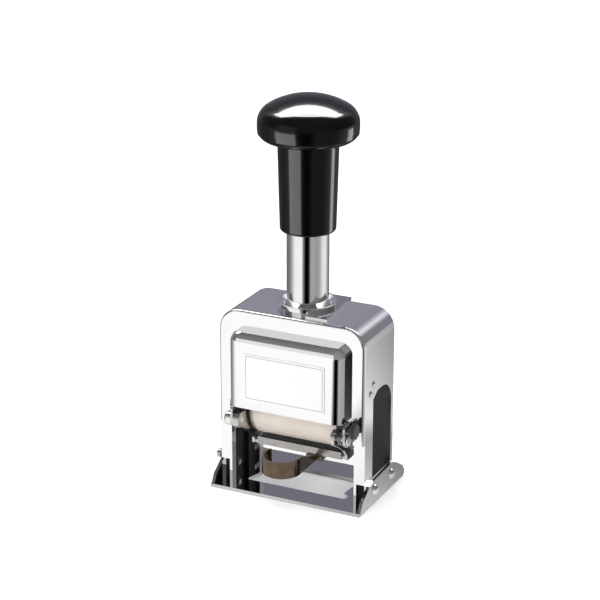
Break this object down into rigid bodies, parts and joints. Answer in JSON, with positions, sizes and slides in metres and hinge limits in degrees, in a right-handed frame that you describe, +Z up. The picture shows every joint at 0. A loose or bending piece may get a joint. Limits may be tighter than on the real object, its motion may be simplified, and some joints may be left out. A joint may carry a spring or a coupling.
{
  "type": "numbering machine",
  "caption": "Hand stamp with a black knob and grip on a chromed plunger over a sprung, self-inking set of number wheels in a steel arch.",
  "frame": {"origin": "on the paper, at the centre of the print, under the plunger's axis", "axes": "+X along the front to the right, -Y towards the front, +Z up along the plunger"},
  "size_m": [0.0709, 0.0561, 0.1658],
  "materials": {
    "chrome_sheet": "polished",
    "chrome_turned": "polished",
    "lock_steel": "satin",
    "label_alloy": "satin",
    "handle_black": "glossy",
    "liner_black": "matte",
    "inner_steel": "satin",
    "arm_steel": "satin",
    "spring_steel": "bright",
    "comb_brass": "satin",
    "wheel_steel": "satin",
    "guard_cream": "gloss",
    "loop_bronze": "polished",
    "pad_felt": "felt, inked",
    "selector_black": "knurled"
  },
  "bodies": {
    "stand": {"frame": "chrome_sheet", "side_stud": "chrome_turned", "base_plate": "chrome_sheet", "ear_screws": "chrome_turned", "ear_nuts": "inner_steel", "side_liner_left": "liner_black", "side_liner_right": "liner_black", "wall_rivets": "chrome_turned", "front_cover": "chrome_sheet", "label_plate": "label_alloy", "collar": "chrome_turned", "collar_nut": "chrome_turned", "spring_bar": "inner_steel", "spring_washer": "inner_steel", "return_spring": "spring_steel", "pivot_bracket_left": "inner_steel", "pivot_bracket_right": "inner_steel", "pivot_pin_left": "chrome_turned", "pivot_pin_right": "chrome_turned", "arm_spring": "spring_steel"},
    "plunger": {"knob_cap": "handle_black", "knob_base": "handle_black", "grip": "handle_black", "handle_screw": "inner_steel", "tube_plug": "inner_steel", "plunger_tube": "chrome_turned", "tube_flange": "inner_steel", "flange_screws": "inner_steel", "case_bridge": "inner_steel", "guide_shoe_left": "inner_steel", "guide_shoe_right": "inner_steel", "case_side_left": "inner_steel", "case_side_right": "inner_steel", "wheel_shaft": "inner_steel", "shaft_clips": "inner_steel", "tie_rod": "inner_steel", "detent_comb": "comb_brass", "wheel_guard": "guard_cream"},
    "number_wheel_1": {"number_wheel_1": "wheel_steel"},
    "number_wheel_2": {"number_wheel_2": "wheel_steel"},
    "number_wheel_3": {"number_wheel_3": "wheel_steel"},
    "number_wheel_4": {"number_wheel_4": "wheel_steel"},
    "number_wheel_5": {"number_wheel_5": "wheel_steel"},
    "number_wheel_6": {"number_wheel_6": "wheel_steel"},
    "number_wheel_7": {"number_wheel_7": "wheel_steel"},
    "number_wheel_8": {"number_wheel_8": "wheel_steel"},
    "pawl_swing": {"pawl_yoke": "comb_brass", "pawl_comb": "comb_brass"},
    "pad_swing": {"pad_arm_left": "arm_steel", "pad_arm_right": "arm_steel", "pad_tray": "arm_steel", "ink_pad": "pad_felt", "finger_loop": "loop_bronze", "loop_rivets": "loop_bronze"},
    "lock": {"lock_plate": "lock_steel"},
    "selector": {"selector_knob": "selector_black"}
  },
  "joints": [
    {"name": "plunger_slide", "type": "slide", "parent": "stand", "child": "plunger", "axis": [0, 0, -1], "range_m": [0, 0.0215], "stiffness_N_per_m": 600, "springref_m": -0.012, "deforming": ["return_spring"]},
    {"name": "pad_swing_turn", "type": "hinge", "parent": "stand", "child": "pad_swing", "pos_m": [0, -0.019, 0.0314], "axis": [1, 0, 0], "range_deg": [-90, 0]},
    {"name": "pawl_swing_turn", "type": "hinge", "parent": "plunger", "child": "pawl_swing", "pos_m": [0, 0, 0.034], "axis": [1, 0, 0], "range_deg": [-30, 0]},
    {"name": "number_wheel_1_spin", "type": "hinge", "parent": "plunger", "child": "number_wheel_1", "pos_m": [-0.0147, 0, 0.034], "axis": [1, 0, 0], "continuous": true},
    {"name": "number_wheel_2_spin", "type": "hinge", "parent": "plunger", "child": "number_wheel_2", "pos_m": [-0.0105, 0, 0.034], "axis": [1, 0, 0], "continuous": true},
    {"name": "number_wheel_3_spin", "type": "hinge", "parent": "plunger", "child": "number_wheel_3", "pos_m": [-0.0063, 0, 0.034], "axis": [1, 0, 0], "continuous": true},
    {"name": "number_wheel_4_spin", "type": "hinge", "parent": "plunger", "child": "number_wheel_4", "pos_m": [-0.0021, 0, 0.034], "axis": [1, 0, 0], "continuous": true},
    {"name": "number_wheel_5_spin", "type": "hinge", "parent": "plunger", "child": "number_wheel_5", "pos_m": [0.0021, 0, 0.034], "axis": [1, 0, 0], "continuous": true},
    {"name": "number_wheel_6_spin", "type": "hinge", "parent": "plunger", "child": "number_wheel_6", "pos_m": [0.0063, 0, 0.034], "axis": [1, 0, 0], "continuous": true},
    {"name": "number_wheel_7_spin", "type": "hinge", "parent": "plunger", "child": "number_wheel_7", "pos_m": [0.0105, 0, 0.034], "axis": [1, 0, 0], "continuous": true},
    {"name": "number_wheel_8_spin", "type": "hinge", "parent": "plunger", "child": "number_wheel_8", "pos_m": [0.0147, 0, 0.034], "axis": [1, 0, 0], "continuous": true},
    {"name": "lock_slide", "type": "slide", "parent": "stand", "child": "lock", "axis": [1, 0, 0], "range_m": [0, 0.002]},
    {"name": "selector_turn", "type": "hinge", "parent": "stand", "child": "selector", "pos_m": [0.0299, -0.0192, 0.03585], "axis": [1, 0, 0], "range_deg": [-90, 90]}
  ],
  "couplings": [
    {"joint": "pad_swing_turn", "follows": "plunger_slide", "rad_per_m": -73},
    {"joint": "pawl_swing_turn", "follows": "plunger_slide", "rad_per_m": -24.3}
  ]
}
